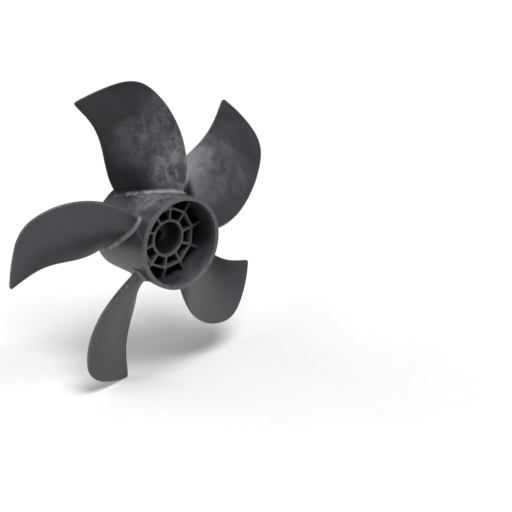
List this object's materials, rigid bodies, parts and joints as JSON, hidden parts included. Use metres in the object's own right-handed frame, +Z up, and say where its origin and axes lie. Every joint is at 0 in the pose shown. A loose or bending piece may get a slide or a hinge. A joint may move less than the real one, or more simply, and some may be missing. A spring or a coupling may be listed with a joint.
{
  "type": "tunnel thruster propeller",
  "caption": "Skewed composite boat propeller for a transverse tunnel thruster: open-mouthed hub barrel, ribbed core, metal drive bush and separately footed blades.",
  "frame": {"origin": "on the shaft axis, in the front face of the drive bush, where the shaft's drive pin pushes", "axes": "Y along the shaft, the open mouth of the hub towards -Y; +Z up; X to the right seen from the mouth"},
  "size_m": [0.2813, 0.078, 0.2925],
  "materials": {
    "blade_composite": "satin, as moulded, glass-filled",
    "hub_composite": "satin, as moulded, glass-filled",
    "core_composite": "matt, as moulded",
    "bush_metal": "turned bronze, dull"
  },
  "bodies": {
    "root": {"hub_barrel": "hub_composite", "hub_core": "core_composite", "drive_bush": "bush_metal", "blade_1": "blade_composite", "blade_2": "blade_composite", "blade_3": "blade_composite", "blade_4": "blade_composite", "blade_5": "blade_composite"}
  },
  "joints": []
}
